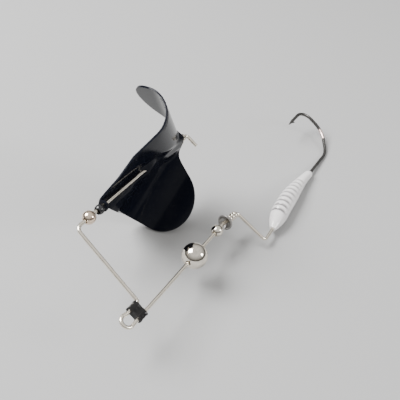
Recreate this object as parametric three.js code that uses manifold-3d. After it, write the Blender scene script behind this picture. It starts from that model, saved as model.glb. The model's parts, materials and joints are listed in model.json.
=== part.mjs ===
// A wire-framed surface lure: one bent wire carries a spinning two-winged blade on its upper run
// and loose balls, a bead cup and a ribbed stop on its lower run, which ends in a cast ribbed head
// with the hook moulded into it. Millimetres; the lure lies on its side, as on a table.
// The wire's own plane holds x along both straight runs, from the line tie towards the hook, and
// y from the lower run up to the axle run; z is square to that plane. The finished group is turned
// as the lure lies, with the head and one blade wing on the table, and set down at z = 0.
import * as THREE from 'three';
import { mergeVertices } from 'three/addons/utils/BufferGeometryUtils.js';
import Module from 'manifold-3d';

const wasm = await Module();
wasm.setup();

// ---------- driving dimensions ----------
const WIRE_D = 1.25; // stainless frame wire
const HOOK_D = 1.35; // hook wire
const FIT_GAP = 0.3; // between pieces that are fixed to each other on the real lure
const RUN_GAP = 0.2; // radial clearance of a piece that turns or slides on the wire

const RUN_SPACING = 32.2; // lower run to axle run
const AXLE_FRONT_X = 1.9; // corner at the front of the axle run
const AXLE_REAR_X = 67.4; // corner at the rear of the axle run
const ARM_FOOT_X = -0.4; // where the front arm turns into the sleeve
const TAIL_LENGTH = 5.6; // leg bent in behind the rivet
const KINK_X = 49.8; // the lower run is bent a little here
const KINK_ANGLE = 7.5; // degrees
const DROP_BEND = 1.1; // radius of the corner where the wire drops to the head
const DROP = 14.2; // from the lower run down to the wire that enters the head
const DROP_LEAN = 0.9; // the drop leg's lean towards the hook
const LIE_TILT = 28.5; // degrees, the wire's plane above the table
const LIE_PITCH = 3.9; // degrees, the runs' slope down to the hook end

const EYE_LENGTH = 5; // line-tie eye, in front of the sleeve
const EYE_WIDTH = 4.65;
const EYE_DROP = 0.25; // how far the eye bulges below the lower run
const LEG_SPACING = 3.4; // between the two wires in the sleeve
const SLEEVE_X = -3.2; // middle of the sleeve
const SLEEVE_LENGTH = 3.6;
const SLEEVE_WALL = 0.45;

const BLADE_LENGTH = 47; // over the tabs
const BLADE_MID_X = 38.8;
const BLADE_THICK = 0.7;
const BLADE_TURN = 69.2; // degrees, how far the blade has spun round the axle
const WEB_HALF = 1.9; // half the width of the flat web between the wings
const WEB_CLEAR = 0.15; // between the web and the bore drilled for the axle
const SLOT_HALF = 3.5; // half the slot where the web crosses the axle
const TAB_REACH = 1.1; // how far a tab reaches past its hole
const WING_X = 16.5; // centre of a wing's rounded outline, from the blade's middle
const WING_Y = 18.3;
const WING_RX = 11.9; // its half length and half width
const WING_RY = 13.4;
const ROLL_SKEW = 46.5; // degrees, the line that a wing is rolled along, to the axle
const ROLL_START = 10.1; // flat part of a wing before the roll
const ROLL_RADIUS = 10.5;
const ROLL_ANGLE = 105; // degrees
const WING_LIFT = 11; // degrees, a wing's crease at the web
const WING_SKEW = 5; // degrees, the wings' turn in the blade's plane

const BIG_BALL_D = 8.9;
const BIG_BALL_X = 29.1;
const SMALL_BALL_D = 4.3;
const SMALL_BALL_X = 44.8;
const CUP_D = 5.8;
const CUP_LENGTH = 2.2;
const CUP_WALL = 0.5;
const CUP_FACE = 0.5; // the cup's open face, behind the kink
const STOP_D = 2.8;
const STOP_LENGTH = 4.6;
const STOP_GROOVES = 2;

const FRONT_BEAD_D = 4.5;
const FRONT_BEAD_X = 8.2;
const SPACER_BEAD_D = 3.3;
const SPACER_BORE = 2.1; // the spacer bead hangs loose on the axle
const RIVET_D = 2.5;
const RIVET_FLARE_D = 3.5;
const RIVET_LENGTH = 3;

const HEAD_LENGTH = 40.6;
const HEAD_D = 7; // at its widest
const HEAD_TAIL_D = 3.4; // where the hook leaves it
const HEAD_FLATNESS = 0.94; // thickness to width
const NOSE_D = 2.24; // at the very front
const NOSE_SHARE = 0.25; // share of the length over which the nose swells
const TAPER_START = 0.42; // share of the length where the taper to the hook begins
const TAIL_SHARE = 0.05; // share of the length that is rounded over at the hook
const HEAD_BOW = 1.5; // how far the head's middle stands off the line from nose to hook
const HEAD_ANGLE = 3.2; // degrees between the head and the lower run
const HEAD_LEAD = 7.2; // wire showing between the drop leg and the head
const HEAD_RIBS = 9;
const RIB_START = 6.7; // behind the nose
const RIB_PITCH = 2.8;
const RIB_HEIGHT = 0.45;
const WIRE_IN_HEAD = 9;
const SHANK_IN_HEAD = 15;
const SHANK_LENGTH = 18.2; // hook shank showing behind the head
const HOOK_GAP = 20; // shank to point
const HOOK_BACK = 9.8; // from the end of the straight shank to the back of the bend
const POINT_LENGTH = 15.3; // from the back of the bend to the tip
const CONE_LENGTH = 3.6; // ground point
const BARB_LENGTH = 2.6;
const BARB_ANGLE = 28; // degrees, to the point's wire

// ---------- materials ----------
function finish(color, metalness, roughness) {
  return new THREE.MeshStandardMaterial({ color, metalness, roughness });
}
const stainless = finish('#c9c2b4', 1, 0.25);
const blackRubber = finish('#15130f', 0, 0.6);
const blackPaint = finish('#0b0c0f', 0.2, 0.15);
const nickel = finish('#cfc9be', 1, 0.1);
const roseGold = finish('#b4553f', 1, 0.15);
const blackGlass = finish('#101012', 0, 0.2);
const aluminium = finish('#8d8a86', 1, 0.4);
const pearl = finish('#e4dfdc', 0.1, 0.3);
const blackNickel = finish('#4a463f', 1, 0.25);

// ---------- helpers ----------
const rad = THREE.MathUtils.degToRad;
const WIRE_R = WIRE_D / 2;
const BORE_R = WIRE_R + RUN_GAP;

// A wire bent in its plane: straight runs between corners, each corner rounded to its own radius.
class BentWire extends THREE.Curve {
  constructor(corners, arcStep = rad(22)) {
    super();
    this.stations = [];
    corners.forEach(({ at, radius }, i) => {
      if (!radius) {
        const away = i === 0 ? corners[1].at.clone().sub(at) : at.clone().sub(corners[i - 1].at);
        this.stations.push({ point: at, tangent: away.normalize() });
        return;
      }
      const into = at.clone().sub(corners[i - 1].at).normalize();
      const out = corners[i + 1].at.clone().sub(at).normalize();
      const turn = into.angleTo(out);
      const side = Math.sign(into.x * out.y - into.y * out.x);
      const start = at.clone().addScaledVector(into, -radius * Math.tan(turn / 2));
      const centre = new THREE.Vector3(-into.y, into.x, 0).multiplyScalar(side * radius).add(start);
      const steps = Math.max(2, Math.ceil(turn / arcStep));
      for (let k = 0; k <= steps; k += 1) {
        const spin = (side * turn * k) / steps;
        const point = start.clone().sub(centre).applyAxisAngle(UP, spin).add(centre);
        this.stations.push({ point, tangent: into.clone().applyAxisAngle(UP, spin) });
      }
    });
  }

  getSpacedPoints() {
    return this.stations.map(({ point }) => point.clone());
  }

  getTangentAt(u, target = new THREE.Vector3()) {
    return target.copy(this.stations[Math.round(u * (this.stations.length - 1))].tangent);
  }
}
const UP = new THREE.Vector3(0, 0, 1);

const corner = (x, y, radius = 0) => ({ at: new THREE.Vector3(x, y, 0), radius });

function roundSection(radius, sides) {
  const outline = [];
  for (let i = 0; i < sides; i += 1) {
    const angle = (2 * Math.PI * (i + 0.5)) / sides;
    outline.push(new THREE.Vector2(radius * Math.cos(angle), radius * Math.sin(angle)));
  }
  return new THREE.Shape(outline);
}

function bentTube(corners, radius, sides = 10) {
  const path = new BentWire(corners);
  const steps = path.stations.length - 1;
  return new THREE.ExtrudeGeometry(roundSection(radius, sides), { steps, extrudePath: path });
}

// A body turned about x from a profile of [x, radius] pairs.
function turned(profile, sides = 24) {
  const points = profile.map(([x, r]) => new THREE.Vector2(r, x));
  return new THREE.LatheGeometry(points, sides).rotateZ(-Math.PI / 2);
}

// The same with a bore: the outer profile runs from front to back, and the bore closes it.
function ring(profile, bore, sides = 24) {
  const back = [profile[profile.length - 1][0], bore];
  const front = [profile[0][0], bore];
  return turned([front, ...profile, back, front], sides);
}

function bead(diameter, bore, arcs = 10, sides = 24) {
  const radius = diameter / 2;
  const edge = Math.asin((bore + 0.12) / radius);
  const profile = [];
  for (let i = 0; i <= arcs; i += 1) {
    const angle = edge + ((Math.PI - 2 * edge) * i) / arcs;
    profile.push([-radius * Math.cos(angle), radius * Math.sin(angle)]);
  }
  return ring(profile, bore, sides);
}

function solid(geometry) {
  const bare = geometry.clone();
  bare.deleteAttribute('normal');
  bare.deleteAttribute('uv');
  const merged = mergeVertices(bare, 1e-4);
  const vertProperties = new Float32Array(merged.attributes.position.array);
  const triVerts = new Uint32Array(merged.index.array);
  return new wasm.Manifold(new wasm.Mesh({ numProp: 3, vertProperties, triVerts }));
}

function fromSolid(manifold) {
  const { vertProperties, triVerts } = manifold.getMesh();
  const geometry = new THREE.BufferGeometry();
  geometry.setAttribute('position', new THREE.BufferAttribute(vertProperties, 3));
  geometry.setIndex(new THREE.BufferAttribute(triVerts, 1));
  return geometry;
}

function piece(name, geometry, material, x = 0) {
  const mesh = new THREE.Mesh(geometry, material);
  mesh.name = name;
  mesh.position.x = x;
  return mesh;
}

// ---------- frame wire ----------
// From the bent tail behind the blade, along the axle, down to the sleeve, round the line-tie eye,
// back through the sleeve, along the lower run and down into the head.
const kink = new THREE.Vector3(KINK_X, 0, 0);
const kinkDir = new THREE.Vector3(Math.cos(rad(KINK_ANGLE)), -Math.sin(rad(KINK_ANGLE)), 0);
const stopX = CUP_FACE + CUP_LENGTH + FIT_GAP; // behind the kink
const runEnd = kink.clone().addScaledVector(kinkDir, stopX + STOP_LENGTH + DROP_BEND);
const headDir = new THREE.Vector3(Math.cos(rad(HEAD_ANGLE)), Math.sin(rad(HEAD_ANGLE)), 0);
const leadCorner = new THREE.Vector3(runEnd.x + DROP_LEAN, runEnd.y - DROP, 0);
const nose = leadCorner.clone().addScaledVector(headDir, HEAD_LEAD);
const wireEnd = nose.clone().addScaledVector(headDir, WIRE_IN_HEAD);

const eyeBack = SLEEVE_X - SLEEVE_LENGTH / 2 - 0.7;
const eyeTip = SLEEVE_X - SLEEVE_LENGTH / 2 - EYE_LENGTH;
const frameCorners = [
  corner(AXLE_REAR_X, RUN_SPACING - TAIL_LENGTH),
  corner(AXLE_REAR_X, RUN_SPACING, 1.5),
  corner(AXLE_FRONT_X, RUN_SPACING, 2.2),
  corner(ARM_FOOT_X, LEG_SPACING, 1),
  corner(eyeBack, LEG_SPACING, 1.5),
  corner(eyeTip, EYE_WIDTH - EYE_DROP, 1.85),
  corner(eyeTip, -EYE_DROP, 2.1),
  corner(eyeBack, 0, 2),
  corner(KINK_X, 0, 4),
  corner(runEnd.x, runEnd.y, DROP_BEND),
  corner(leadCorner.x, leadCorner.y, 1.6),
  corner(wireEnd.x, wireEnd.y),
];
const frameWire = piece('frame_wire', bentTube(frameCorners, WIRE_R), stainless);

// ---------- line-tie sleeve ----------
// Shrink tube drawn over the two wires; flat on both broad sides, one bore round each wire.
function flatOval(width, height) {
  const r = height / 2;
  const half = width / 2 - r;
  const shape = new THREE.Shape();
  shape.moveTo(-half, -r);
  shape.lineTo(half, -r);
  shape.absarc(half, 0, r, -Math.PI / 2, Math.PI / 2, false);
  shape.lineTo(-half, r);
  shape.absarc(-half, 0, r, Math.PI / 2, 1.5 * Math.PI, false);
  return shape;
}
const sleeveBore = WIRE_R + FIT_GAP;
const sleeveHeight = 2 * (sleeveBore + SLEEVE_WALL);
const sleeveShape = flatOval(LEG_SPACING + sleeveHeight, sleeveHeight);
for (const side of [-1, 1]) {
  const bore = new THREE.Path();
  bore.absarc((side * LEG_SPACING) / 2, 0, sleeveBore, 0, 2 * Math.PI, true);
  sleeveShape.holes.push(bore);
}
const sleeveGeometry = new THREE.ExtrudeGeometry(sleeveShape, {
  depth: SLEEVE_LENGTH,
  bevelEnabled: false,
  curveSegments: 10,
});
sleeveGeometry.translate(0, 0, -SLEEVE_LENGTH / 2).rotateZ(Math.PI / 2).rotateY(Math.PI / 2);
const sleeve = piece('line_tie_sleeve', sleeveGeometry, blackRubber, SLEEVE_X);
sleeve.position.y = LEG_SPACING / 2;

// ---------- blade ----------
// One sheet: a flat web along the axle and two wings, each lifted at the web and rolled over its
// outer corner. The second wing is the first turned half a turn about the axle. The web runs above
// the axle at one end and below it at the other, crossing it at a slot in the middle, and a tab at
// each end is bent across the wire.
const bladeHalf = BLADE_LENGTH / 2;
const webRise = BORE_R + WEB_CLEAR + BLADE_THICK / 2;

// Where a line from a tab touches the wing's rounded outline, as an angle on that oval.
function touchAngle(tabX, side) {
  const dx = (WING_X - tabX) / WING_RX;
  const dy = (WING_Y - WEB_HALF) / WING_RY;
  const along = Math.atan2(dy, dx) + side * Math.asin(1 / Math.hypot(dx, dy));
  return along + (side * Math.PI) / 2;
}
const outlineFront = touchAngle(-bladeHalf, 1);
const outlineRear = touchAngle(bladeHalf, -1);

// The flat blank's edge, u running from the front tab round the wing to the rear tab.
const EDGE_SPLIT = 0.22; // shares of u spent on the two straight edges
function blankEdge(u) {
  const arc = THREE.MathUtils.clamp((u - EDGE_SPLIT) / (1 - 2 * EDGE_SPLIT), 0, 1);
  const angle = THREE.MathUtils.lerp(outlineFront, outlineRear, arc);
  const onArc = new THREE.Vector2(WING_X + WING_RX * Math.cos(angle), WING_Y + WING_RY * Math.sin(angle));
  const tab = new THREE.Vector2(u < 0.5 ? -bladeHalf : bladeHalf, WEB_HALF);
  return tab.lerp(onArc, Math.min(1, u / EDGE_SPLIT, (1 - u) / EDGE_SPLIT));
}

// A point of the flat blank after the wing is rolled, lifted and skewed.
function rolledWing({ x, y }, side) {
  const skew = rad(ROLL_SKEW);
  const along = x * Math.cos(skew) - y * Math.sin(skew);
  const across = x * Math.sin(skew) + y * Math.cos(skew);
  const bend = THREE.MathUtils.clamp((across - ROLL_START) / ROLL_RADIUS, 0, rad(ROLL_ANGLE));
  const beyond = Math.max(across - ROLL_START, 0) - bend * ROLL_RADIUS;
  const flat = Math.min(across, ROLL_START) + ROLL_RADIUS * Math.sin(bend) + beyond * Math.cos(bend);
  const drop = ROLL_RADIUS * (1 - Math.cos(bend)) + beyond * Math.sin(bend);
  const lift = across > 0 ? rad(WING_LIFT) : 0;
  const reach = flat * Math.cos(lift) + drop * Math.sin(lift);
  const height = flat * Math.sin(lift) - drop * Math.cos(lift);
  const point = new THREE.Vector3(along, reach, height);
  return point.applyAxisAngle(UP, -skew - side * rad(WING_SKEW));
}

// u runs from tab to tab, v from one wing's edge (-1) over the web (0) to the other's (1).
function bladeSurface(u, v) {
  const edge = blankEdge(u);
  const share = Math.abs(v);
  const blank = new THREE.Vector2(THREE.MathUtils.lerp(-bladeHalf, bladeHalf, u), 0).lerp(edge, share);
  const free = THREE.MathUtils.smoothstep(blank.y, 0.6 * WEB_HALF, 3.5 * WEB_HALF);
  const side = v < 0 ? -1 : 1;
  const wing = rolledWing(blank, side).multiply(new THREE.Vector3(1, side, side));
  const crossing = 2 * THREE.MathUtils.smoothstep(blank.x, -SLOT_HALF, SLOT_HALF) - 1;
  const web = new THREE.Vector3(blank.x, side * blank.y, webRise * crossing);
  return web.lerp(wing, free);
}

function bladeSheet(uSteps, vSteps) {
  const positions = [];
  const nudge = 1e-3;
  for (const face of [1, -1]) {
    for (let i = 0; i <= uSteps; i += 1) {
      for (let j = 0; j <= 2 * vSteps; j += 1) {
        const u = THREE.MathUtils.clamp(i / uSteps, nudge, 1 - nudge);
        const v = THREE.MathUtils.clamp(j / vSteps - 1, nudge - 1, 1 - nudge);
        const middle = bladeSurface(u, v);
        const du = bladeSurface(u + nudge, v).sub(bladeSurface(u - nudge, v));
        const dv = bladeSurface(u, v + nudge).sub(bladeSurface(u, v - nudge));
        middle.addScaledVector(du.cross(dv).normalize(), (face * BLADE_THICK) / 2);
        positions.push(middle.x, middle.y, middle.z);
      }
    }
  }
  const columns = 2 * vSteps + 1;
  const under = (uSteps + 1) * columns;
  const index = [];
  const quad = (a, b, c, d) => index.push(a, b, c, a, c, d);
  const at = (i, j) => i * columns + j;
  for (let i = 0; i < uSteps; i += 1) {
    for (let j = 0; j < columns - 1; j += 1) {
      quad(at(i, j), at(i + 1, j), at(i + 1, j + 1), at(i, j + 1));
      quad(at(i, j) + under, at(i, j + 1) + under, at(i + 1, j + 1) + under, at(i + 1, j) + under);
    }
    quad(at(i, 0), at(i, 0) + under, at(i + 1, 0) + under, at(i + 1, 0));
    const j = columns - 1;
    quad(at(i, j), at(i + 1, j), at(i + 1, j) + under, at(i, j) + under);
  }
  for (let j = 0; j < columns - 1; j += 1) {
    const i = uSteps;
    quad(at(0, j), at(0, j + 1), at(0, j + 1) + under, at(0, j) + under);
    quad(at(i, j), at(i, j) + under, at(i, j + 1) + under, at(i, j + 1));
  }
  const geometry = new THREE.BufferGeometry();
  geometry.setAttribute('position', new THREE.Float32BufferAttribute(positions, 3));
  geometry.setIndex(index);
  return geometry;
}

function buzzBlade() {
  let sheet = solid(bladeSheet(32, 12));
  const tabHeight = webRise + BLADE_THICK / 2 + BORE_R + TAB_REACH;
  for (const end of [-1, 1]) {
    const tab = new THREE.BoxGeometry(BLADE_THICK, 2 * WEB_HALF, tabHeight);
    const middle = end * (webRise + BLADE_THICK / 2 - tabHeight / 2);
    tab.translate(end * (bladeHalf - BLADE_THICK / 2), 0, middle);
    sheet = sheet.add(solid(tab));
  }
  const axle = new THREE.CylinderGeometry(BORE_R, BORE_R, BLADE_LENGTH + 4, 16).rotateZ(Math.PI / 2);
  return fromSolid(sheet.subtract(solid(axle)));
}
const axleRun = new THREE.Group();
axleRun.position.y = RUN_SPACING;
const blade = piece('buzz_blade', buzzBlade(), blackPaint, BLADE_MID_X);
blade.rotation.x = rad(BLADE_TURN);
axleRun.add(blade);

// ---------- beads and rivet on the axle ----------
const bladeFront = BLADE_MID_X - bladeHalf;
const bladeRear = BLADE_MID_X + bladeHalf;
const spacerX = bladeFront - FIT_GAP - SPACER_BEAD_D / 2;
axleRun.add(piece('front_bead', bead(FRONT_BEAD_D, BORE_R), roseGold, FRONT_BEAD_X));
const spacer = piece('spacer_bead', bead(SPACER_BEAD_D, SPACER_BORE / 2, 8, 18), blackGlass, spacerX);
spacer.position.y = -(SPACER_BORE / 2 - BORE_R);
axleRun.add(spacer);

const rivetProfile = [
  [0, RIVET_FLARE_D / 2],
  [0.4, RIVET_FLARE_D / 2],
  [0.7, RIVET_D / 2],
  [RIVET_LENGTH, RIVET_D / 2],
];
axleRun.add(piece('rear_rivet', ring(rivetProfile, BORE_R, 20), nickel, bladeRear + FIT_GAP));

// ---------- balls, cup and stop on the lower run ----------
const lowerRun = new THREE.Group();
lowerRun.add(piece('large_ball', bead(BIG_BALL_D, BORE_R, 14, 28), nickel, BIG_BALL_X));
lowerRun.add(piece('small_ball', bead(SMALL_BALL_D, BORE_R), nickel, SMALL_BALL_X));

// Both sit just behind the kink, on the wire's last slanting stretch.
const slant = new THREE.Group();
slant.position.copy(kink);
slant.rotation.z = -rad(KINK_ANGLE);
lowerRun.add(slant);

const cupProfile = [];
for (let i = 0; i <= 6; i += 1) {
  const angle = (rad(72) * i) / 6;
  cupProfile.push([CUP_LENGTH * Math.sin(angle), (CUP_D / 2) * Math.cos(angle)]);
}
const cupInside = cupProfile
  .map(([x, r]) => [Math.max(0, x - CUP_WALL), Math.max(BORE_R, r - CUP_WALL)])
  .reverse();
const cupBack = [CUP_LENGTH, BORE_R];
const cupMouth = cupInside.filter(([x]) => x > 0);
const cupRim = [0, CUP_D / 2 - CUP_WALL];
const cupInnerBack = [CUP_LENGTH - CUP_WALL, BORE_R];
const cupOutline = [...cupProfile, cupBack, cupInnerBack, ...cupMouth, cupRim, cupProfile[0]];
slant.add(piece('bead_cup', turned(cupOutline), aluminium, CUP_FACE));

const stopProfile = [];
const segment = STOP_LENGTH / (STOP_GROOVES + 1);
for (let i = 0; i <= STOP_GROOVES; i += 1) {
  const start = i * segment;
  stopProfile.push([start + 0.25, STOP_D / 2], [start + segment - 0.25, STOP_D / 2]);
  if (i < STOP_GROOVES) stopProfile.push([start + segment, STOP_D / 2 - 0.28]);
}
stopProfile.unshift([0, STOP_D / 2 - 0.2]);
stopProfile.push([STOP_LENGTH, STOP_D / 2 - 0.2]);
slant.add(piece('ribbed_stop', ring(stopProfile, BORE_R, 20), nickel, stopX));

// ---------- hook ----------
const headEnd = nose.clone().addScaledVector(headDir, HEAD_LENGTH);
const shankStart = headEnd.clone().addScaledVector(headDir, -SHANK_IN_HEAD);
const shankEnd = corner(headEnd.x + SHANK_LENGTH, headEnd.y, 9.5);
const bendBack = shankEnd.at.x + HOOK_BACK;
const pointY = headEnd.y + HOOK_GAP;
const coneStart = new THREE.Vector3(bendBack - POINT_LENGTH + CONE_LENGTH, pointY, 0);

function hookGeometry() {
  const wire = bentTube(
    [
      corner(shankStart.x, shankStart.y),
      corner(headEnd.x + 1, headEnd.y, 8),
      shankEnd,
      corner(bendBack, headEnd.y + 0.37 * HOOK_GAP, 9.5),
      corner(bendBack, pointY, 5.8),
      corner(coneStart.x, pointY),
    ],
    HOOK_D / 2,
    12,
  );
  const sharp = turned([[0, 0], [0, HOOK_D / 2], [CONE_LENGTH, 0.06], [CONE_LENGTH, 0]], 12);
  sharp.rotateZ(Math.PI).translate(coneStart.x + 0.01, pointY, 0);
  const barb = turned([[0, 0], [0, HOOK_D / 3], [BARB_LENGTH, 0.05], [BARB_LENGTH, 0]], 8);
  barb.rotateZ(-rad(BARB_ANGLE)).translate(coneStart.x - 1.1, pointY - 0.1, 0);
  return fromSolid(solid(wire).add(solid(sharp)).add(solid(barb)));
}
const hook = piece('hook', hookGeometry(), blackNickel);

// ---------- head ----------
// Cast round the end of the frame wire and the hook's shank; ribbed on its bowed side, smooth
// along the keel, with a tapered nose and a slimmer, rounded tail.
function headProfile(s) {
  const nosePart = THREE.MathUtils.clamp(s / NOSE_SHARE, 0, 1);
  const taper = THREE.MathUtils.smoothstep(s, TAPER_START, 1);
  const tailPart = THREE.MathUtils.clamp((s - 1) / TAIL_SHARE + 1, 0, 1);
  const body = THREE.MathUtils.lerp(HEAD_D, HEAD_TAIL_D, taper) / 2;
  return body * THREE.MathUtils.lerp(1, NOSE_D / HEAD_D, (1 - nosePart) ** 2) * (1 - 0.3 * tailPart ** 2);
}

// How deep a groove cuts at a distance behind the nose, on the side facing a direction.
function ribDepth(x, facing) {
  const wave = 0.5 - 0.5 * Math.cos((2 * Math.PI * (x - RIB_START)) / RIB_PITCH);
  const ribbed = x > RIB_START && x < RIB_START + HEAD_RIBS * RIB_PITCH;
  return ribbed ? RIB_HEIGHT * wave * THREE.MathUtils.smoothstep(facing, -0.7, 0.1) : 0;
}

function headGeometry() {
  const stations = [0, 0.012, 0.03, 0.055, 0.085, 0.115, 0.14];
  for (let i = 0; i < 4 * HEAD_RIBS; i += 1) {
    stations.push((RIB_START + (i * RIB_PITCH) / 4) / HEAD_LENGTH);
  }
  const ribEnd = RIB_START + HEAD_RIBS * RIB_PITCH;
  for (const share of [0, 0.3, 0.55, 0.75, 0.86, 0.92, 0.96, 1]) {
    stations.push(THREE.MathUtils.lerp(ribEnd / HEAD_LENGTH, 1, share));
  }
  const profile = stations.map((s) => [s * HEAD_LENGTH, headProfile(s)]);
  const blank = turned([[0, 0], ...profile, [HEAD_LENGTH, 0]], 20);
  const vertex = new THREE.Vector3();
  const position = blank.attributes.position;
  for (let i = 0; i < position.count; i += 1) {
    vertex.fromBufferAttribute(position, i);
    const radius = Math.max(Math.hypot(vertex.y, vertex.z), 1e-6);
    const scale = 1 - ribDepth(vertex.x, vertex.y / radius) / radius;
    const bow = HEAD_BOW * Math.max(0, Math.sin((Math.PI * vertex.x) / HEAD_LENGTH)) ** 0.8;
    position.setXYZ(i, vertex.x, vertex.y * scale + bow, vertex.z * scale * HEAD_FLATNESS);
  }
  blank.rotateZ(rad(HEAD_ANGLE)).translate(nose.x, nose.y, 0);

  const along = (from, distance, radius) => {
    const { x, y } = from.clone().addScaledVector(headDir, distance);
    return corner(x, y, radius);
  };
  const wireSpace = bentTube([along(nose, 1 - HEAD_LEAD), along(wireEnd, FIT_GAP)], WIRE_R + FIT_GAP, 12);
  const shankSpace = bentTube(
    [along(shankStart, -FIT_GAP), corner(headEnd.x + 1, headEnd.y, 8), corner(headEnd.x + 8, headEnd.y)],
    HOOK_D / 2 + FIT_GAP,
    12,
  );
  return fromSolid(solid(blank).subtract(solid(wireSpace)).subtract(solid(shankSpace)));
}
const head = piece('head', headGeometry(), pearl);

// ---------- assembly ----------
const lure = new THREE.Group();
lure.add(frameWire, sleeve, axleRun, lowerRun, hook, head);
lure.rotation.x = rad(LIE_TILT);
const model = new THREE.Group();
model.add(lure);
model.rotation.y = rad(LIE_PITCH);
model.updateMatrixWorld(true);
const box = new THREE.Box3().setFromObject(model, true);
const centre = box.getCenter(new THREE.Vector3());
model.position.set(-centre.x, -centre.y, -box.min.z);

export default model;
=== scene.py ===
import json
import math

import bmesh
import bpy
import numpy as np
from mathutils import Matrix, Vector


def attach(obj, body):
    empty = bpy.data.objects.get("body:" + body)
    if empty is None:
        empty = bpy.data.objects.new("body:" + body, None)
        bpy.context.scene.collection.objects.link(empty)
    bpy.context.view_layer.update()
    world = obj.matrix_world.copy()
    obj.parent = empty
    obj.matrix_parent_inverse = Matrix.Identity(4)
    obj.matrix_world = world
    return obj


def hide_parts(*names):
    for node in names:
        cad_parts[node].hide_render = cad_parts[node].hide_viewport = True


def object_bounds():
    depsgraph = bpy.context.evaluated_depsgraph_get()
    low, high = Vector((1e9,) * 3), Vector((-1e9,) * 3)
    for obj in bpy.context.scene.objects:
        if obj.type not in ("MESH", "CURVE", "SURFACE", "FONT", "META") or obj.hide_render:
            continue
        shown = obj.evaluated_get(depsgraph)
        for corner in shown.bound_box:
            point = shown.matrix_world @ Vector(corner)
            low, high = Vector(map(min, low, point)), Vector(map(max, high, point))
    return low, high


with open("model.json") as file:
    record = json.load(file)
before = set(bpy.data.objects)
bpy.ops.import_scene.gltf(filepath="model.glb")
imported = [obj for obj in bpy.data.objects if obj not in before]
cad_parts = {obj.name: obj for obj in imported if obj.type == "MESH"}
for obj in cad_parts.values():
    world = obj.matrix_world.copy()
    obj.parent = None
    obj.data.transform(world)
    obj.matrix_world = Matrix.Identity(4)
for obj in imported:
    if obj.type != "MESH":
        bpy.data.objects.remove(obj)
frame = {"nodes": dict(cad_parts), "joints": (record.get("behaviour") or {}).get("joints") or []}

cad_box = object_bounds()

# ---------- how the lure lies ----------
# The wire frame is flat and lies tilted on the head and one blade wing. On the lure's own axes x runs
# down both straight runs from the line tie to the hook, y goes from the lower run to the axle run,
# and z is square to both; every size below is in millimetres on those axes.
MM = 0.001
BALL_X = 29.1  # the large ball's place along the lower run
joints = {joint["name"]: joint for joint in frame["joints"]}
axle_spot = Vector(joints["blade_spin"]["pos_m"])
ball_spot = Vector(joints["large_ball_slide"]["pos_m"])
along = Vector(joints["blade_spin"]["axis"]).normalized()
across = axle_spot - ball_spot
across = (across - across.dot(along) * along).normalized()
lie = Matrix((along, across, along.cross(across))).transposed()
lay = Matrix.Translation(ball_spot - BALL_X * MM * along) @ lie.to_4x4() @ Matrix.Scale(MM, 4)
from_lay = lay.inverted()
RUN_SPACING = (from_lay @ axle_spot).y


def reach(node):
    """Lowest and highest corner of a CAD node, on the lure's own axes."""
    spots = [from_lay @ vertex.co for vertex in frame["nodes"][node].data.vertices]
    return Vector(map(min, zip(*spots))), Vector(map(max, zip(*spots)))


# ---------- camera, floor and lights ----------
# A longish lens looks down across the lure from the line tie's side. The lure lies on a grey matt
# floor under a bright ceiling and a large soft light from the upper left, with two weaker lights.
camera_data = bpy.data.cameras.new("camera")
camera_data.sensor_width = 36
camera_data.lens = 63
camera_data.clip_start = 0.01
camera = bpy.data.objects.new("camera", camera_data)
bpy.context.scene.collection.objects.link(camera)
bpy.context.scene.camera = camera
CAMERA_SPOT = Vector((-126.9, 20.0, 170.2))
camera_back = Vector((-0.7185, 0.0339, 0.6947)).normalized()
camera_right = Vector((0.4951, 0.7265, 0.4766)).cross(camera_back).normalized()
camera_turn = Matrix((camera_right, camera_back.cross(camera_right), camera_back)).transposed()
camera.matrix_world = Matrix.Translation(lay @ CAMERA_SPOT) @ (lie @ camera_turn).to_4x4()

floor_mesh = bpy.data.meshes.new("floor")
FLOOR_HALF = 3.0
floor_corners = [(-FLOOR_HALF, -FLOOR_HALF, 0), (FLOOR_HALF, -FLOOR_HALF, 0)]
floor_corners += [(FLOOR_HALF, FLOOR_HALF, 0), (-FLOOR_HALF, FLOOR_HALF, 0)]
floor_mesh.from_pydata(floor_corners, [], [(0, 1, 2, 3)])
floor = bpy.data.objects.new("floor", floor_mesh)
bpy.context.scene.collection.objects.link(floor)
floor_paint = bpy.data.materials.new("floor_paint")
floor_paint.use_nodes = True
floor_paint.node_tree.nodes["Principled BSDF"].inputs["Base Color"].default_value = (0.4, 0.4, 0.4, 1)
floor_paint.node_tree.nodes["Principled BSDF"].inputs["Roughness"].default_value = 0.9
floor_paint.node_tree.nodes["Principled BSDF"].inputs["Specular IOR Level"].default_value = 0.1
floor_mesh.materials.append(floor_paint)


def soft_light(name, toward_camera, size, power):
    """A square soft light, placed on the camera's own axes (right, up, back) and aimed at the lure."""
    data = bpy.data.lights.new(name, "AREA")
    data.shape = "SQUARE"
    data.size = size
    data.energy = power
    lamp = bpy.data.objects.new(name, data)
    bpy.context.scene.collection.objects.link(lamp)
    away = (lie @ camera_turn @ Vector(toward_camera)).normalized()
    distance = Vector(toward_camera).length
    aim = (cad_box[0] + cad_box[1]) / 2
    turn = away.to_track_quat("Z", "Y").to_matrix().to_4x4()
    lamp.matrix_world = Matrix.Translation(aim + away * distance) @ turn


soft_light("key_light", (-0.42, 0.5, 0.38), 0.42, 15.0)
soft_light("side_light", (0.65, 0.1, 0.3), 0.2, 2.2)
soft_light("low_light", (-0.15, -0.6, 0.2), 0.22, 1.6)
world = bpy.data.worlds.new("studio")
bpy.context.scene.world = world
world.use_nodes = True
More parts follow.
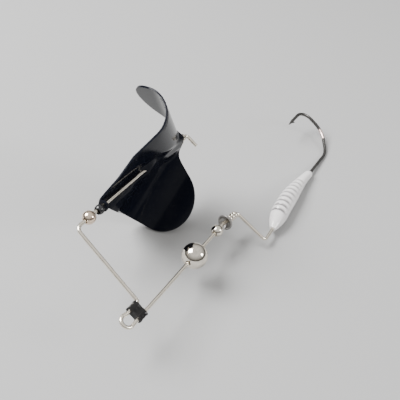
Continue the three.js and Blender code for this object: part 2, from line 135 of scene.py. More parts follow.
# A studio that is bright overhead and dark at the walls, so that metal shows light and dark bands.
sky_nodes, sky_links = world.node_tree.nodes, world.node_tree.links
sky_spot = sky_nodes.new("ShaderNodeTexCoord")
sky_parts = sky_nodes.new("ShaderNodeSeparateXYZ")
sky_fade = sky_nodes.new("ShaderNodeMapRange")
sky_fade.inputs["From Min"].default_value = 0.05
sky_fade.inputs["From Max"].default_value = 0.75
sky_fade.inputs["To Min"].default_value = 0.04
sky_fade.inputs["To Max"].default_value = 0.95
sky_links.new(sky_spot.outputs["Generated"], sky_parts.inputs["Vector"])
sky_links.new(sky_parts.outputs["Z"], sky_fade.inputs["Value"])
sky_links.new(sky_fade.outputs["Result"], sky_nodes["Background"].inputs["Strength"])
sky_nodes["Background"].inputs["Color"].default_value = (1, 0.99, 0.97, 1)


# ---------- frame wire ----------
# One stainless wire, drawn bright and bent cold: tail, axle run, sleeve, line-tie eye, lower run,
# drop leg and the end that is cast into the head.
WIRE_D = 1.25
FIT_GAP = 0.3


def wear_group():
    """Handling marks: soft smears and fine scratches, as a roughness to add, a mask and a height."""
    group = bpy.data.node_groups.new("handling_marks", "ShaderNodeTree")
    for name, start in (("Smear Scale", 400.0), ("Scratch Scale", 2500.0), ("Amount", 0.1)):
        group.interface.new_socket(name, in_out="INPUT", socket_type="NodeSocketFloat").default_value = start
    for name in ("Roughness Added", "Mask", "Height"):
        group.interface.new_socket(name, in_out="OUTPUT", socket_type="NodeSocketFloat")
    nodes, links = group.nodes, group.links
    source = nodes.new("NodeGroupInput")
    result = nodes.new("NodeGroupOutput")
    spot = nodes.new("ShaderNodeTexCoord")
    smear = nodes.new("ShaderNodeTexNoise")
    smear.inputs["Detail"].default_value = 4
    links.new(spot.outputs["Object"], smear.inputs["Vector"])
    links.new(source.outputs["Smear Scale"], smear.inputs["Scale"])
    stretch = nodes.new("ShaderNodeMapping")
    stretch.inputs["Scale"].default_value = (0.15, 1, 1)
    stretch.inputs["Rotation"].default_value = (0.3, 0.5, 0.8)
    links.new(spot.outputs["Object"], stretch.inputs["Vector"])
    scratch = nodes.new("ShaderNodeTexNoise")
    scratch.inputs["Detail"].default_value = 2
    links.new(stretch.outputs["Vector"], scratch.inputs["Vector"])
    links.new(source.outputs["Scratch Scale"], scratch.inputs["Scale"])
    edge = nodes.new("ShaderNodeMapRange")
    edge.inputs["From Min"].default_value = 0.56
    edge.inputs["From Max"].default_value = 0.7
    links.new(scratch.outputs["Fac"], edge.inputs["Value"])
    mask = nodes.new("ShaderNodeMath")
    mask.operation = "MULTIPLY_ADD"
    mask.inputs[1].default_value = 0.6
    links.new(edge.outputs["Result"], mask.inputs[0])
    spread = nodes.new("ShaderNodeMapRange")
    spread.inputs["From Min"].default_value = 0.35
    spread.inputs["From Max"].default_value = 0.75
    links.new(smear.outputs["Fac"], spread.inputs["Value"])
    links.new(spread.outputs["Result"], mask.inputs[2])
    added = nodes.new("ShaderNodeMath")
    added.operation = "MULTIPLY"
    links.new(mask.outputs["Value"], added.inputs[0])
    links.new(source.outputs["Amount"], added.inputs[1])
    links.new(added.outputs["Value"], result.inputs["Roughness Added"])
    links.new(mask.outputs["Value"], result.inputs["Mask"])
    links.new(edge.outputs["Result"], result.inputs["Height"])
    return group


handling_marks = wear_group()


def shader_of(material):
    return material.node_tree.nodes["Principled BSDF"]


def finish(name, colour, worn_colour, roughness, metallic, marks=0.1, bump=0.02, smear=400.0, scratch=2500.0):
    """A coated or bare metal or plastic, marked by handling."""
    material = bpy.data.materials.new(name)
    material.use_nodes = True
    nodes, links = material.node_tree.nodes, material.node_tree.links
    shader = shader_of(material)
    shader.inputs["Metallic"].default_value = metallic
    wear = nodes.new("ShaderNodeGroup")
    wear.name = "marks"
    wear.node_tree = handling_marks
    wear.inputs["Amount"].default_value = marks
    wear.inputs["Smear Scale"].default_value = smear
    wear.inputs["Scratch Scale"].default_value = scratch
    rough = nodes.new("ShaderNodeMath")
    rough.operation = "ADD"
    rough.inputs[1].default_value = roughness
    links.new(wear.outputs["Roughness Added"], rough.inputs[0])
    links.new(rough.outputs["Value"], shader.inputs["Roughness"])
    tint = nodes.new("ShaderNodeMix")
    tint.name = "tint"
    tint.data_type = "RGBA"
    tint.inputs["A"].default_value = (*colour, 1)
    tint.inputs["B"].default_value = (*worn_colour, 1)
    links.new(wear.outputs["Mask"], tint.inputs["Factor"])
    links.new(tint.outputs["Result"], shader.inputs["Base Color"])
    relief = nodes.new("ShaderNodeBump")
    relief.name = "relief"
    relief.inputs["Strength"].default_value = bump
    relief.inputs["Distance"].default_value = 0.00005
    links.new(wear.outputs["Height"], relief.inputs["Height"])
    links.new(relief.outputs["Normal"], shader.inputs["Normal"])
    return material


def keep(name, mesh, material, node, body):
    """Makes a finished mesh a piece that stands for its CAD node."""
    piece = bpy.data.objects.new(name, mesh)
    bpy.context.scene.collection.objects.link(piece)
    if material is not None:
        mesh.materials.clear()
        mesh.materials.append(material)
    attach(piece, body)
    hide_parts(node)
    return piece


def wire_tree():
    """Rounds the corners of a drawn line to each point's own bend and gives it a round section."""
    tree = bpy.data.node_groups.new("bent_wire", "GeometryNodeTree")
    tree.interface.new_socket("Geometry", in_out="INPUT", socket_type="NodeSocketGeometry")
    tree.interface.new_socket("Radius", in_out="INPUT", socket_type="NodeSocketFloat")
    tree.interface.new_socket("Sides", in_out="INPUT", socket_type="NodeSocketInt")
    tree.interface.new_socket("Material", in_out="INPUT", socket_type="NodeSocketMaterial")
    tree.interface.new_socket("Geometry", in_out="OUTPUT", socket_type="NodeSocketGeometry")
    nodes, links = tree.nodes, tree.links
    source = nodes.new("NodeGroupInput")
    result = nodes.new("NodeGroupOutput")
    line = nodes.new("GeometryNodeMeshToCurve")
    bend = nodes.new("GeometryNodeInputNamedAttribute")
    bend.data_type = "FLOAT"
    bend.inputs["Name"].default_value = "bend"
    fillet = nodes.new("GeometryNodeFilletCurve")
    fillet.mode = "POLY"
    fillet.inputs["Count"].default_value = 16
    section = nodes.new("GeometryNodeCurvePrimitiveCircle")
    tube = nodes.new("GeometryNodeCurveToMesh")
    tube.inputs["Fill Caps"].default_value = True
    smooth = nodes.new("GeometryNodeSetShadeSmooth")
    real = nodes.new("GeometryNodeRealizeInstances")
    paint = nodes.new("GeometryNodeSetMaterial")
    links.new(source.outputs["Geometry"], line.inputs["Mesh"])
    links.new(line.outputs["Curve"], fillet.inputs["Curve"])
    links.new(bend.outputs["Attribute"], fillet.inputs["Radius"])
    links.new(source.outputs["Sides"], section.inputs["Resolution"])
    links.new(source.outputs["Radius"], section.inputs["Radius"])
    links.new(fillet.outputs["Curve"], tube.inputs["Curve"])
    links.new(section.outputs["Curve"], tube.inputs["Profile Curve"])
    links.new(tube.outputs["Mesh"], smooth.inputs["Geometry"])
    links.new(smooth.outputs["Geometry"], real.inputs["Geometry"])
    links.new(real.outputs["Geometry"], paint.inputs["Geometry"])
    links.new(source.outputs["Material"], paint.inputs["Material"])
    links.new(paint.outputs["Geometry"], result.inputs["Geometry"])
    return tree


bent_wire_tree = wire_tree()


def run_tree(mesh, tree, **sizes):
    """The plain mesh that a node tree makes of a mesh, with the tree's named inputs set."""
    maker = bpy.data.objects.new("maker", mesh)
    bpy.context.scene.collection.objects.link(maker)
    modifier = maker.modifiers.new("tree", "NODES")
    modifier.node_group = tree
    sockets = {item.name: item.identifier for item in tree.interface.items_tree if item.in_out == "INPUT"}
    for name, value in sizes.items():
        modifier[sockets[name]] = value
    shape = bpy.data.meshes.new_from_object(maker.evaluated_get(bpy.context.evaluated_depsgraph_get()))
    maker.modifiers.clear()
    bpy.data.objects.remove(maker)
    return shape


def bent_wire(corners, diameter, material, sides=24):
    """A wire through (x, y, bend radius) corners in the lure's flat plane."""
    line = bpy.data.meshes.new("line")
    spots = [lay @ Vector((x, y, 0)) for x, y, bend in corners]
    line.from_pydata(spots, [(i, i + 1) for i in range(len(spots) - 1)], [])
    bend = line.attributes.new("bend", "FLOAT", "POINT")
    bend.data.foreach_set("value", [corner[2] * MM for corner in corners])
    return run_tree(line, bent_wire_tree, Radius=diameter / 2 * MM, Sides=sides, Material=material)


stainless = finish(
    "stainless_wire", (0.95, 0.89, 0.78), (0.76, 0.70, 0.60), 0.15, 1.0, marks=0.16, bump=0.06, scratch=5000
)
AXLE_FRONT_X, AXLE_REAR_X, TAIL_LENGTH = 1.9, 67.4, 5.6
ARM_FOOT_X, LEG_SPACING = -0.4, 3.4
EYE_TIP_X, EYE_BACK_X, EYE_WIDTH, EYE_DROP = -10.0, -5.7, 4.65, 0.25
KINK_X, KINK_ANGLE, DROP, DROP_BEND, DROP_LEAN = 49.8, math.radians(7.5), 14.2, 1.1, 0.9
CUP_FACE, CUP_LENGTH, STOP_LENGTH = 0.5, 2.2, 4.6
HEAD_ANGLE, HEAD_LEAD, WIRE_IN_HEAD = math.radians(3.2), 7.2, 9.0
slant_dir = Vector((math.cos(KINK_ANGLE), -math.sin(KINK_ANGLE), 0))
head_dir = Vector((math.cos(HEAD_ANGLE), math.sin(HEAD_ANGLE), 0))
kink = Vector((KINK_X, 0, 0))
stop_start = CUP_FACE + CUP_LENGTH + FIT_GAP
run_end = kink + slant_dir * (stop_start + STOP_LENGTH + DROP_BEND)
lead_corner = run_end + Vector((DROP_LEAN, -DROP, 0))
nose = lead_corner + head_dir * HEAD_LEAD
wire_end = nose + head_dir * WIRE_IN_HEAD
frame_corners = [
    (AXLE_REAR_X, RUN_SPACING - TAIL_LENGTH, 0),
    (AXLE_REAR_X, RUN_SPACING, 1.5),
    (AXLE_FRONT_X, RUN_SPACING, 2.2),
    (ARM_FOOT_X, LEG_SPACING, 1.0),
    (EYE_BACK_X, LEG_SPACING, 1.5),
    (EYE_TIP_X, EYE_WIDTH - EYE_DROP, 1.85),
    (EYE_TIP_X, -EYE_DROP, 2.1),
    (EYE_BACK_X, 0, 2.0),
    (KINK_X, 0, 4),
    (run_end.x, run_end.y, DROP_BEND),
    (lead_corner.x, lead_corner.y, 1.6),
    (wire_end.x, wire_end.y, 0),
]
keep("wire", bent_wire(frame_corners, WIRE_D, stainless), None, "frame_wire", "root")


# ---------- line-tie sleeve ----------
# Black shrink tube drawn over the two wires behind the eye. It has pulled in between them, so it is
# waisted, and its ends have curled a little proud.
sleeve_rubber = finish(
    "black_shrink_sleeve", (0.006, 0.006, 0.006), (0.012, 0.011, 0.011), 0.16, 0.0, marks=0.12, bump=0.25,
    scratch=1800
)
shader_of(sleeve_rubber).inputs["Specular IOR Level"].default_value = 0.3
SLEEVE_SIDES, SLEEVE_ROWS = 72, 28
SLEEVE_WAIST = 0.2  # how far the broad sides pull in between the wires
SLEEVE_SHRINK, SLEEVE_CURL, SLEEVE_RIPPLE, SLEEVE_LIP = 0.93, 0.05, 0.012, 0.94  # shares of its size
sleeve_low, sleeve_high = reach("line_tie_sleeve")
sleeve_middle = (sleeve_low + sleeve_high) / 2
sleeve_half = (sleeve_high - sleeve_low) / 2


def sleeve_section(angle, swell):
    """A point of the sleeve's section: two round ends over the wires, joined by pulled-in sides."""
    y = (sleeve_half.y - sleeve_half.z) * math.tanh(3 * math.cos(angle)) + sleeve_half.z * math.cos(angle)
    pull = SLEEVE_WAIST * math.cos(math.pi / 2 * min(1, abs(y) / (sleeve_half.y - sleeve_half.z))) ** 2
    z = (sleeve_half.z - pull) * math.copysign(abs(math.sin(angle)) ** 0.55, math.sin(angle))
    return Vector((0, y, z)) * swell


sleeve_spots, sleeve_faces = [], []
for row in range(SLEEVE_ROWS + 1):
    share = row / SLEEVE_ROWS * 2 - 1
    swell = SLEEVE_SHRINK + SLEEVE_CURL * abs(share) ** 3 + SLEEVE_RIPPLE * math.sin(9 * share + 1)
    if row in (0, SLEEVE_ROWS):
        swell *= SLEEVE_LIP
    for side in range(SLEEVE_SIDES):
        spot = sleeve_section(2 * math.pi * side / SLEEVE_SIDES, swell)
        spot.x = sleeve_half.x * math.copysign(abs(share) ** 0.8, share)
        sleeve_spots.append(lay @ (sleeve_middle + spot))
for row in range(SLEEVE_ROWS):
    for side in range(SLEEVE_SIDES):
        a, b = row * SLEEVE_SIDES + side, row * SLEEVE_SIDES + (side + 1) % SLEEVE_SIDES
        sleeve_faces.append((a, b, b + SLEEVE_SIDES, a + SLEEVE_SIDES))
sleeve_faces.append(tuple(range(SLEEVE_SIDES))[::-1])
sleeve_faces.append(tuple(range(SLEEVE_ROWS * SLEEVE_SIDES, (SLEEVE_ROWS + 1) * SLEEVE_SIDES)))


def clean_mesh(name, spots, faces, sharp=35):
    """A mesh with outward faces, smooth but for edges sharper than `sharp` degrees."""
    mesh = bpy.data.meshes.new(name)
    mesh.from_pydata(spots, [], faces)
    work = bmesh.new()
    work.from_mesh(mesh)
    bmesh.ops.remove_doubles(work, verts=work.verts, dist=1e-7)
    bmesh.ops.recalc_face_normals(work, faces=work.faces)
    work.to_mesh(mesh)
    work.free()
    mesh.shade_smooth()
    mesh.set_sharp_from_angle(angle=math.radians(sharp))
    return mesh


keep("sleeve", clean_mesh("sleeve", sleeve_spots, sleeve_faces), sleeve_rubber, "line_tie_sleeve", "root")


# ---------- blade ----------
# One aluminium sheet, painted gloss black: a flat web along the axle and two wings, each creased up
# at the web and rolled over its outer corner. A bored tab at each end and a slot let the wire through.
BLADE_LENGTH, BLADE_MID_X, BLADE_THICK = 47.0, 38.8, 0.7
BLADE_TURN = math.radians(69.2)
WEB_HALF, WEB_CLEAR, SLOT_HALF, TAB_REACH = 1.9, 0.15, 3.5, 1.1
WING_MIDDLE, WING_RADII = Vector((16.5, 18.3)), Vector((11.9, 13.4))
ROLL_SKEW, ROLL_START, ROLL_RADIUS, ROLL_ANGLE = math.radians(46.5), 10.1, 10.5, math.radians(105)
WING_LIFT, WING_SKEW = math.radians(11), math.radians(5)
EDGE_SPLIT = 0.22  # share of the outline's steps on each straight edge
BLADE_STEPS, WING_STEPS = 150, 56
blade_half = BLADE_LENGTH / 2
WIRE_SPACE = WIRE_D / 2 + 0.2
WEB_RISE = WIRE_SPACE + WEB_CLEAR + BLADE_THICK / 2


def touch_angle(tab_x, side):
    """Where a line from a tab touches the wing's rounded outline, as an angle on that oval."""
    dx = (WING_MIDDLE.x - tab_x) / WING_RADII.x
    dy = (WING_MIDDLE.y - WEB_HALF) / WING_RADII.y
    return math.atan2(dy, dx) + side * (math.asin(1 / math.hypot(dx, dy)) + math.pi / 2)


def smooth_step(value, low, high):
    share = np.clip((value - low) / (high - low), 0, 1)
    return share * share * (3 - 2 * share)


def blade_surface(u, v):
    """The sheet's middle: u runs from tab to tab, v from one wing's edge (-1) to the other's (1)."""
    arc = np.clip((u - EDGE_SPLIT) / (1 - 2 * EDGE_SPLIT), 0, 1)
    angle = touch_angle(-blade_half, 1) * (1 - arc) + touch_angle(blade_half, -1) * arc
    tab_x = np.where(u < 0.5, -blade_half, blade_half)
    out = np.minimum(1, np.minimum(u, 1 - u) / EDGE_SPLIT)
    edge_x = tab_x * (1 - out) + (WING_MIDDLE.x + WING_RADII.x * np.cos(angle)) * out
    edge_y = WEB_HALF * (1 - out) + (WING_MIDDLE.y + WING_RADII.y * np.sin(angle)) * out
    share = np.abs(v)
    x = (2 * u - 1) * blade_half * (1 - share) + edge_x * share
    y = edge_y * share
    free = smooth_step(y, 0.6 * WEB_HALF, 3.5 * WEB_HALF)
    line = x * np.cos(ROLL_SKEW) - y * np.sin(ROLL_SKEW)
    reach_out = x * np.sin(ROLL_SKEW) + y * np.cos(ROLL_SKEW)
    bend = np.clip((reach_out - ROLL_START) / ROLL_RADIUS, 0, ROLL_ANGLE)
    beyond = np.maximum(reach_out - ROLL_START, 0) - bend * ROLL_RADIUS
    flat = np.minimum(reach_out, ROLL_START) + ROLL_RADIUS * np.sin(bend) + beyond * np.cos(bend)
    fall = ROLL_RADIUS * (1 - np.cos(bend)) + beyond * np.sin(bend)
    lift = np.where(reach_out > 0, WING_LIFT, 0)
    wing_out = flat * np.cos(lift) + fall * np.sin(lift)
    wing_up = flat * np.sin(lift) - fall * np.cos(lift)
    side = np.where(v < 0, -1, 1)
    turn = -ROLL_SKEW - side * WING_SKEW
    wing_x = line * np.cos(turn) - wing_out * np.sin(turn)
    wing_y = line * np.sin(turn) + wing_out * np.cos(turn)
    crossing = 2 * smooth_step(x, -SLOT_HALF, SLOT_HALF) - 1
    return np.stack([
        x * (1 - free) + wing_x * free,
        side * (y * (1 - free) + wing_y * free),
        WEB_RISE * crossing * (1 - free) + side * wing_up * free,
    ], axis=-1)


blade_lay = lay @ Matrix.Translation((BLADE_MID_X, RUN_SPACING, 0)) @ Matrix.Rotation(BLADE_TURN, 4, "X")
grid_u, grid_v = np.meshgrid(
    np.linspace(0, 1, BLADE_STEPS + 1), np.linspace(-1, 1, 2 * WING_STEPS + 1), indexing="ij"
)
NUDGE = 1e-3  # step, in u and v, for the sheet's slopes
grid_u, grid_v = np.clip(grid_u, NUDGE, 1 - NUDGE), np.clip(grid_v, NUDGE - 1, 1 - NUDGE)
sheet_middle = blade_surface(grid_u, grid_v)
sheet_normal = np.cross(
    blade_surface(grid_u + NUDGE, grid_v) - blade_surface(grid_u - NUDGE, grid_v),
    blade_surface(grid_u, grid_v + NUDGE) - blade_surface(grid_u, grid_v - NUDGE),
)
sheet_normal *= BLADE_THICK / 2 / np.linalg.norm(sheet_normal, axis=-1, keepdims=True)
sheet_spots = np.stack([sheet_middle + sheet_normal, sheet_middle - sheet_normal]).reshape(-1, 3)
columns = 2 * WING_STEPS + 1
under = (BLADE_STEPS + 1) * columns
top_faces = [
    (i * columns + j, (i + 1) * columns + j, (i + 1) * columns + j + 1, i * columns + j + 1)
    for i in range(BLADE_STEPS) for j in range(columns - 1)
]
rim = list(range(columns))
rim += [i * columns + columns - 1 for i in range(1, BLADE_STEPS + 1)]
rim += [BLADE_STEPS * columns + j for j in range(columns - 2, -1, -1)]
rim += [i * columns for i in range(BLADE_STEPS - 1, 0, -1)]
sheet_faces = top_faces + [tuple(spot + under for spot in face[::-1]) for face in top_faces]
sheet_faces += [(a, b, b + under, a + under) for a, b in zip(rim, rim[1:] + rim[:1])]


def tab_outline(top):
    """A tab with a rounded end, with its flat foot at z = 0 and its height `top` along z."""
    outline = [(-WEB_HALF, 0.0), (WEB_HALF, 0.0)]
    for step in range(TAB_ARC_STEPS + 1):
        angle = math.pi * step / TAB_ARC_STEPS
        outline.append((WEB_HALF * math.cos(angle), top - TAB_ROUND * (1 - math.sin(angle))))
    return outline


def add_modifier(piece, kind, **values):
    modifier = piece.modifiers.new(kind.lower(), kind)
    for name, value in values.items():
        setattr(modifier, name, value)
    return modifier


def settle(piece):
    """Takes the piece's modifiers into its mesh."""
    shape = bpy.data.meshes.new_from_object(piece.evaluated_get(bpy.context.evaluated_depsgraph_get()))
    piece.modifiers.clear()
    piece.data = shape
    return piece


def loose(name, mesh):
    piece = bpy.data.objects.new(name, mesh)
    bpy.context.scene.collection.objects.link(piece)
    return piece


blade_piece = loose("blade_sheet", clean_mesh("blade_sheet", sheet_spots.tolist(), sheet_faces))

axle_cutter = bmesh.new()
bmesh.ops.create_cone(
    axle_cutter, cap_ends=True, segments=32, radius1=WIRE_SPACE, radius2=WIRE_SPACE, depth=BLADE_LENGTH + 8,
    matrix=Matrix.Rotation(math.pi / 2, 4, "Y"),
)
cutter_mesh = bpy.data.meshes.new("axle_cutter")
axle_cutter.to_mesh(cutter_mesh)
axle_cutter.free()
cutter = loose("axle_cutter", cutter_mesh)

TAB_HEIGHT = WEB_RISE + BLADE_THICK / 2 + WIRE_SPACE + TAB_REACH
TAB_ROUND, TAB_ARC_STEPS, TAB_PROUD = 1.2, 16, 0.05
EDGE_BREAK = 0.1  # bevel along the sheet's cut edges
tabs = []
for end in (-1, 1):
    outline = tab_outline(TAB_HEIGHT)
    near, far = end * (blade_half - BLADE_THICK), end * (blade_half + TAB_PROUD)
    foot = end * (WEB_RISE + BLADE_THICK / 2)
    tab_spots = [(x, y, foot - end * z) for x in (near, far) for y, z in outline]
    count = len(outline)
    tab_faces = [tuple(range(count)), tuple(range(count, 2 * count))]
    tab_faces += [(i, (i + 1) % count, (i + 1) % count + count, i + count) for i in range(count)]
    tab = loose(f"tab_{end}", clean_mesh("tab", tab_spots, tab_faces))
    tabs.append(tab)
SHARP_FROM = math.radians(55)
for part in (blade_piece, *tabs):
    add_modifier(part, "BOOLEAN", operation="DIFFERENCE", object=cutter, solver="EXACT")
    settle(part)
    add_modifier(part, "BEVEL", width=EDGE_BREAK, segments=2, limit_method="ANGLE", angle_limit=SHARP_FROM)
    settle(part)
bpy.data.objects.remove(cutter)
work = bmesh.new()
for part in (blade_piece, *tabs):
    work.from_mesh(part.data)
    bpy.data.objects.remove(part)
blade_mesh = bpy.data.meshes.new("blade")
work.to_mesh(blade_mesh)
work.free()
blade_mesh.transform(blade_lay)
blade_mesh.shade_smooth()
blade_mesh.set_sharp_from_angle(angle=math.radians(40))

blade_paint = finish(
    "black_blade_paint", (0.0045, 0.0055, 0.010), (0.008, 0.009, 0.013), 0.09, 0.0, marks=0.06, bump=0.04,
    smear=120, scratch=1200
)
shader_of(blade_paint).inputs["Specular IOR Level"].default_value = 0.07
keep("blade", blade_mesh, blade_paint, "buzz_blade", "blade")


# ---------- beads and rivet on the axle ----------
# A pale, warm plated bead takes the blade's pull in front, with a small black glass bead between it
# and the tab. Behind the blade sits a short flared rivet. All are loose on the wire.
def turned(name, profile, place, sides=72, sharp=30):
    """A ring turned about x from a closed profile of (x, radius) pairs, put in place."""
    spots, faces = [], []
    count = len(profile)
    for side in range(sides):
        angle = 2 * math.pi * side / sides
        for x, radius in profile:
            spots.append(place @ Vector((x, radius * math.cos(angle), radius * math.sin(angle))))
    for side in range(sides):
        for i in range(count):
            a, b = side * count, (side + 1) % sides * count
            j = (i + 1) % count
            faces.append((a + i, a + j, b + j, b + i))
    return clean_mesh(name, spots, faces, sharp)


BORE_LIP = 0.12


def bead_profile(diameter, bore, steps=40):
    """Ball with a bore whose mouth is chamfered."""
    radius = diameter / 2
    start = math.asin((bore + BORE_LIP) / radius)
    lip = radius * math.cos(start)
    profile = [(-lip + BORE_LIP, bore)]
    for step in range(steps + 1):
        angle = start + (math.pi - 2 * start) * step / steps
        profile.append((-radius * math.cos(angle), radius * math.sin(angle)))
    profile.append((lip - BORE_LIP, bore))
    return profile


def on_lay(spot):
    return lay @ Matrix.Translation(spot)


def ball(name, node, material, body, bore=WIRE_SPACE):
    low, high = reach(node)
    diameter = high.z - low.z
    mesh = turned(name, bead_profile(diameter, bore), on_lay((low + high) / 2))
    return keep(name, mesh, material, node, body)


rose_gold = finish(
    "rose_gold_plate", (0.88, 0.74, 0.60), (0.70, 0.55, 0.43), 0.07, 1.0, marks=0.1, bump=0.03, smear=900
)
black_glass = finish(
    "black_bead", (0.008, 0.008, 0.010), (0.02, 0.02, 0.022), 0.12, 0.0, marks=0.15, bump=0.05, smear=900
)
nickel = finish(
    "nickel_plate", (0.88, 0.82, 0.72), (0.70, 0.65, 0.57), 0.05, 1.0, marks=0.08, bump=0.03, smear=500
)
SPACER_BORE = 2.1
ball("bead_front", "front_bead", rose_gold, "front_bead")
ball("bead_spacer", "spacer_bead", black_glass, "spacer_bead", bore=SPACER_BORE / 2)

rivet_low, rivet_high = reach("rear_rivet")
RIVET_FLARE = rivet_high.z
RIVET_LENGTH = rivet_high.x - rivet_low.x
RIVET_TUBE = 1.25
rivet_profile = [
    (0, WIRE_SPACE + 0.25),
    (0.12, RIVET_FLARE - 0.25),
    (0.0, RIVET_FLARE - 0.08),
    (0.14, RIVET_FLARE),
    (0.3, RIVET_FLARE - 0.1),
    (0.55, RIVET_TUBE + 0.18),
    (0.85, RIVET_TUBE),
    (RIVET_LENGTH - 0.12, RIVET_TUBE),
    (RIVET_LENGTH, RIVET_TUBE - 0.12),
    (RIVET_LENGTH, WIRE_SPACE),
    (0.3, WIRE_SPACE),
]
rivet_place = on_lay((rivet_low.x, RUN_SPACING, 0))
keep("rivet", turned("rivet", rivet_profile, rivet_place), nickel, "rear_rivet", "rear_rivet")


# ---------- balls, cup and stop on the lower run ----------
# Two plated balls slide on the lower run and knock as the lure works. Behind them a dull spun cup
# turns on the wire, and a ribbed stop holds it off the bend.
ball("ball_large", "large_ball", nickel, "large_ball")
ball("ball_small", "small_ball", nickel, "small_ball")

slant_place = lay @ Matrix.Translation(kink) @ Matrix.Rotation(-KINK_ANGLE, 4, "Z")
CUP_RADIUS, CUP_WALL, CUP_SWEEP = 2.9, 0.45, math.radians(72)
cup_outer = []
for step in range(17):
    angle = CUP_SWEEP * step / 16
    cup_outer.append((CUP_LENGTH * math.sin(angle), CUP_RADIUS * math.cos(angle)))
cup_outer = [(x, r) for x, r in cup_outer if r > WIRE_SPACE]
cup_inner = [(x - CUP_WALL, r - CUP_WALL) for x, r in cup_outer if x > CUP_WALL and r - CUP_WALL > WIRE_SPACE]
cup_profile = [(0.08, CUP_RADIUS - 0.02), *cup_outer[1:], (CUP_LENGTH, WIRE_SPACE)]
cup_profile += [(CUP_LENGTH - CUP_WALL, WIRE_SPACE), *cup_inner[::-1], (0.08, CUP_RADIUS - CUP_WALL)]
cup_profile += [(0.0, CUP_RADIUS - CUP_WALL + 0.1), (0.0, CUP_RADIUS - 0.1)]
dull_aluminium = finish(
    "dull_aluminium", (0.42, 0.41, 0.40), (0.30, 0.29, 0.28), 0.28, 1.0, marks=0.25, bump=0.12, smear=900
)
cup_place = slant_place @ Matrix.Translation((CUP_FACE, 0, 0))
keep("cup", turned("cup", cup_profile, cup_place), dull_aluminium, "bead_cup", "bead_cup")

STOP_RADIUS, STOP_BANDS = 1.4, 3
band = STOP_LENGTH / STOP_BANDS
stop_profile = []
for i in range(STOP_BANDS):
    for step in range(13):
        share = step / 12
        bulge = math.sin(math.pi * share) ** 0.35
        stop_profile.append((band * (i + 0.04 + 0.92 * share), STOP_RADIUS - 0.3 + 0.3 * bulge))
stop_profile = [(0, WIRE_SPACE), *stop_profile, (STOP_LENGTH, WIRE_SPACE)]
stop_place = slant_place @ Matrix.Translation((stop_start, 0, 0))
stop_mesh = turned("stop", stop_profile, stop_place, sharp=50)
keep("stop", stop_mesh, nickel, "ribbed_stop", "root")


# ---------- head ----------
# Lead, cast over the end of the wire and the hook's shank and painted pearl white. Its bowed side
# carries nine cast grooves that die out round the smooth keel, with painted shade in their floors; the nose
# tapers and the tail is slim.
HEAD_LENGTH, HEAD_D, HEAD_TAIL_D, HEAD_BOW, HEAD_FLATNESS = 40.6, 7.0, 3.4, 1.5, 0.94
HEAD_RIBS, RIB_PITCH, RIB_HEIGHT, RIB_START = 9, 2.8, 0.45, 6.7
HEAD_ROWS, HEAD_SIDES = 420, 96
NOSE_D, NOSE_SHARE, TAPER_START, TAIL_SHARE, TAIL_ROUND = 2.24, 0.25, 0.42, 0.05, 0.3
RIB_SHARPNESS, RIB_FADE = 1.5, 0.45


def head_radius(s):
    """The head's radius at a share s of its length, before the ribs."""
    nose_part = min(1, s / NOSE_SHARE)
    tail_part = max(0, (s - 1) / TAIL_SHARE + 1)
    body = HEAD_D + (HEAD_TAIL_D - HEAD_D) * float(smooth_step(s, TAPER_START, 1.0))
    slimmer = (1 - NOSE_D / HEAD_D) * (1 - nose_part) ** 2
    return body / 2 * (1 - slimmer) * (1 - TAIL_ROUND * tail_part**2)


head_place = lay @ Matrix.Translation(nose) @ Matrix.Rotation(HEAD_ANGLE, 4, "Z")
rib_end = RIB_START + HEAD_RIBS * RIB_PITCH
head_spots, head_faces, head_groove_shade = [], [], []
for row in range(HEAD_ROWS + 1):
    s = row / HEAD_ROWS
    x = s * HEAD_LENGTH
    wave = 0.5 - 0.5 * math.cos(2 * math.pi * (x - RIB_START) / RIB_PITCH)
    fade = 1 - RIB_FADE * (x - RIB_START) / (rib_end - RIB_START)
    wave = wave**RIB_SHARPNESS * fade if RIB_START < x < rib_end else 0
    bow = HEAD_BOW * max(0, math.sin(math.pi * s)) ** 0.8
    for side in range(HEAD_SIDES):
        angle = 2 * math.pi * side / HEAD_SIDES
        ribbed = float(smooth_step(math.cos(angle), -0.7, 0.1))
        radius = head_radius(s) - ribbed * wave * RIB_HEIGHT
        y, z = radius * math.cos(angle) + bow, HEAD_FLATNESS * radius * math.sin(angle)
        head_spots.append(head_place @ Vector((x, y, z)))
        head_groove_shade.append(ribbed * wave)
for row in range(HEAD_ROWS):
    for side in range(HEAD_SIDES):
        a, b = row * HEAD_SIDES + side, row * HEAD_SIDES + (side + 1) % HEAD_SIDES
        head_faces.append((a, b, b + HEAD_SIDES, a + HEAD_SIDES))
head_faces.append(tuple(range(HEAD_SIDES))[::-1])
head_faces.append(tuple(range(HEAD_ROWS * HEAD_SIDES, (HEAD_ROWS + 1) * HEAD_SIDES)))
pearl = finish(
    "pearl_head_paint", (0.90, 0.88, 0.87), (0.80, 0.77, 0.78), 0.22, 0.0, marks=0.15, bump=0.12, smear=260,
    scratch=1500
)


def second_tint(material, mask, colour):
    """Lays another colour over a finish where the mask socket says."""
    nodes, links = material.node_tree.nodes, material.node_tree.links
    over = nodes.new("ShaderNodeMix")
    over.data_type = "RGBA"
    over.inputs["B"].default_value = (*colour, 1)
    links.new(mask, over.inputs["Factor"])
    links.new(nodes["tint"].outputs["Result"], over.inputs["A"])
    links.new(over.outputs["Result"], shader_of(material).inputs["Base Color"])
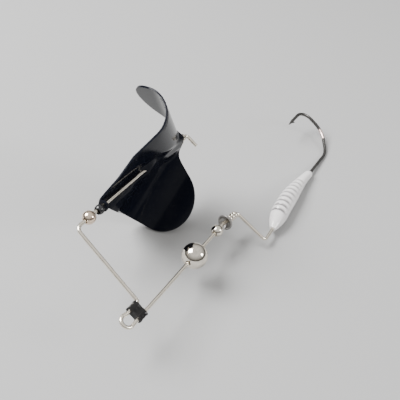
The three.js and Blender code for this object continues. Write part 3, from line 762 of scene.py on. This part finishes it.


# Painted shade: the grooves' floors are tinted dark grey by their depth, standing in for the shade that falls
# in them.
groove_shade_mask = pearl.node_tree.nodes.new("ShaderNodeAttribute")
groove_shade_mask.attribute_name = "groove_shade"
second_tint(pearl, groove_shade_mask.outputs["Fac"], (0.13, 0.12, 0.125))
shader_of(pearl).inputs["Coat Weight"].default_value = 0.8
shader_of(pearl).inputs["Coat Roughness"].default_value = 0.12
head_mesh = clean_mesh("head_casting", head_spots, head_faces)
groove_shade_values = head_mesh.attributes.new("groove_shade", "FLOAT", "POINT")
groove_shade_values.data.foreach_set("value", head_groove_shade)
keep("head_casting", head_mesh, pearl, "head", "root")


# ---------- hook ----------
# Steel wire with a black nickel finish, its shank cast into the head. A short stretch past the first
# bend carries a painted highlight, a pale pink band; the point is ground and has one barb.
HOOK_D, HOOK_GAP, SHANK_IN_HEAD, SHANK_LENGTH = 1.35, 20.0, 15.0, 18.2
HOOK_BACK, POINT_LENGTH, CONE_LENGTH = 9.8, 15.3, 3.6
BARB_LENGTH, BARB_ANGLE = 2.6, math.radians(28)
head_end = nose + head_dir * HEAD_LENGTH
shank_start = head_end - head_dir * SHANK_IN_HEAD
bend_back = head_end.x + SHANK_LENGTH + HOOK_BACK
point_y = head_end.y + HOOK_GAP
cone_x = bend_back - POINT_LENGTH + CONE_LENGTH
black_nickel = finish(
    "black_nickel", (0.15, 0.145, 0.14), (0.09, 0.088, 0.085), 0.2, 1.0, marks=0.2, bump=0.08, smear=300,
    scratch=4000
)
# Painted highlight: a pale pink band round one spot past the first bend, standing in for a glint on the black
# wire.
GLINT_SPOT, GLINT_REACH, GLINT_FADE = Vector((133.0, -5.9, 0)), 2.6 * MM, 0.4 * MM
hook_nodes, hook_links = black_nickel.node_tree.nodes, black_nickel.node_tree.links
hook_spot = hook_nodes.new("ShaderNodeTexCoord")
from_glint = hook_nodes.new("ShaderNodeVectorMath")
from_glint.operation = "DISTANCE"
from_glint.inputs[1].default_value = lay @ GLINT_SPOT
glint_band = hook_nodes.new("ShaderNodeMapRange")
glint_band.inputs["From Min"].default_value = GLINT_REACH
glint_band.inputs["From Max"].default_value = GLINT_REACH - GLINT_FADE
hook_links.new(hook_spot.outputs["Object"], from_glint.inputs[0])
hook_links.new(from_glint.outputs["Value"], glint_band.inputs["Value"])
second_tint(black_nickel, glint_band.outputs["Result"], (0.85, 0.68, 0.64))
hook_corners = [
    (shank_start.x, shank_start.y, 0),
    (head_end.x + 1, head_end.y, 8),
    (head_end.x + SHANK_LENGTH, head_end.y, 9.5),
    (bend_back, head_end.y + 0.37 * HOOK_GAP, 9.5),
    (bend_back, point_y, 5.8),
    (cone_x, point_y, 0),
]
hook_mesh = bent_wire(hook_corners, HOOK_D, black_nickel)
point_profile = [(0.05 - CONE_LENGTH, 0.0)]
for step in range(13):
    share = step / 12
    point_profile.append((0.05 - CONE_LENGTH * (1 - share), 0.05 + (HOOK_D / 2 - 0.05) * share**0.8))
point_profile.append((0.05, 0.0))
point_place = on_lay((cone_x, point_y, 0))
point_mesh = turned("point", point_profile, point_place)
barb_profile = [(0, 0.0), (0, HOOK_D / 3), (BARB_LENGTH / 2, HOOK_D / 5)]
barb_profile += [(BARB_LENGTH, 0.04), (BARB_LENGTH, 0.0)]
barb_place = on_lay((cone_x - 1.1, point_y - 0.1, 0)) @ Matrix.Rotation(-BARB_ANGLE, 4, "Z")
barb_mesh = turned("barb", barb_profile, barb_place, sides=24)
work = bmesh.new()
for part in (hook_mesh, point_mesh, barb_mesh):
    work.from_mesh(part)
hook_whole = bpy.data.meshes.new("hook")
work.to_mesh(hook_whole)
work.free()
hook_whole.shade_smooth()
hook_whole.set_sharp_from_angle(angle=math.radians(45))
keep("hook_steel", hook_whole, black_nickel, "hook", "root")
